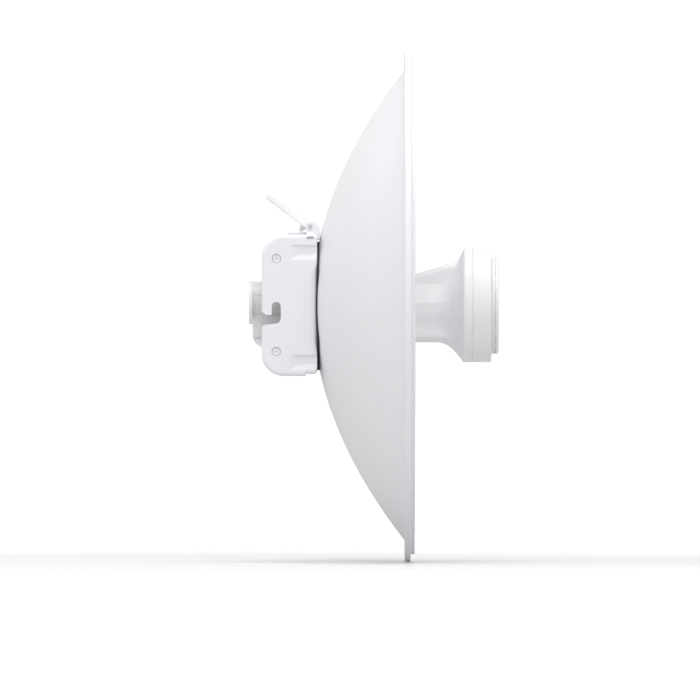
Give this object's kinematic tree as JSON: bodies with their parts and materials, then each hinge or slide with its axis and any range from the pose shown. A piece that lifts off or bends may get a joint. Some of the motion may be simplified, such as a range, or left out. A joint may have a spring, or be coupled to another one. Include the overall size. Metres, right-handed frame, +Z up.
{
  "type": "outdoor wireless bridge",
  "caption": "Round parabolic dish on a moulded rear bracket, with a slide-in radio and feed unit that a lever and bolt lock.",
  "frame": {"origin": "on the dish's axis, in the flat rear face of the bracket", "axes": "+X the way the dish looks (boresight), +Y its left side, +Z up"},
  "size_m": [0.2047, 0.42, 0.42],
  "materials": {
    "painted_sheet": "white powder coat, satin, fine orange peel",
    "bracket_plastic": "white moulded plastic, fine spark texture",
    "latch_plastic": "white moulded plastic, smooth",
    "feed_plastic": "white moulded plastic, satin",
    "grey_plastic": "grey moulded plastic",
    "black_rubber": "black rubber",
    "seal_rubber": "grey rubber",
    "steel": "zinc-plated steel",
    "tinned_steel": "tinned steel sheet",
    "aluminium": "bare aluminium",
    "brass": "bare brass",
    "circuit_board": "green solder mask",
    "clear_plastic": "clear moulded plastic, frosted"
  },
  "bodies": {
    "frame": {"dish_reflector": "painted_sheet", "rear_bracket": "bracket_plastic", "front_plate": "bracket_plastic", "dish_gasket": "black_rubber", "hub_flange": "grey_plastic", "feed_receptacle": "grey_plastic", "latch_pin": "steel", "hub_screws": "steel", "hub_nuts": "steel", "plate_screws": "steel", "plate_inserts": "brass", "side_screws": "painted_sheet", "side_inserts": "brass", "bolt_spring": "steel"},
    "lever": {"latch_lever": "latch_plastic"},
    "bolt": {"lock_bolt": "latch_plastic"},
    "feed": {"feed_shell": "feed_plastic", "head_ring": "feed_plastic", "front_cap": "feed_plastic", "cap_seal": "seal_rubber", "head_screws": "steel", "main_board": "circuit_board", "rf_shield": "tinned_steel", "heat_spreader": "aluminium", "ethernet_jack": "tinned_steel", "ground_plane": "aluminium", "patch_antenna": "brass", "feed_board": "circuit_board", "tail_cap": "feed_plastic", "light_guide": "clear_plastic", "status_board": "circuit_board", "cover_pin": "steel", "port_seal": "black_rubber"},
    "button": {"reset_button": "grey_plastic"},
    "cover": {"port_cover": "feed_plastic"}
  },
  "joints": [
    {"name": "latch_lever_hinge", "type": "hinge", "parent": "frame", "child": "lever", "pos_m": [0.0395, 0, 0.06445], "axis": [0, -1, 0], "range_deg": [-20, 36]},
    {"name": "lock_bolt_slide", "type": "slide", "parent": "frame", "child": "bolt", "axis": [0, 0, -1], "range_m": [-0.00212, 0.00381], "deforming": ["bolt_spring"]},
    {"name": "feed_slide", "type": "slide", "parent": "frame", "child": "feed", "axis": [1, 0, 0], "range_m": [0, 0.075]},
    {"name": "reset_button_press", "type": "slide", "parent": "feed", "child": "button", "axis": [1, 0, 0], "range_m": [0, 0.0008], "stiffness_N_per_m": 300, "springref_m": -0.0005},
    {"name": "port_cover_hinge", "type": "hinge", "parent": "feed", "child": "cover", "pos_m": [-0.0066, 0, -0.025], "axis": [0, -1, 0], "range_deg": [0, 100]}
  ],
  "couplings": [
    {"joint": "lock_bolt_slide", "follows": "latch_lever_hinge", "m_per_rad": 0.0060479}
  ]
}
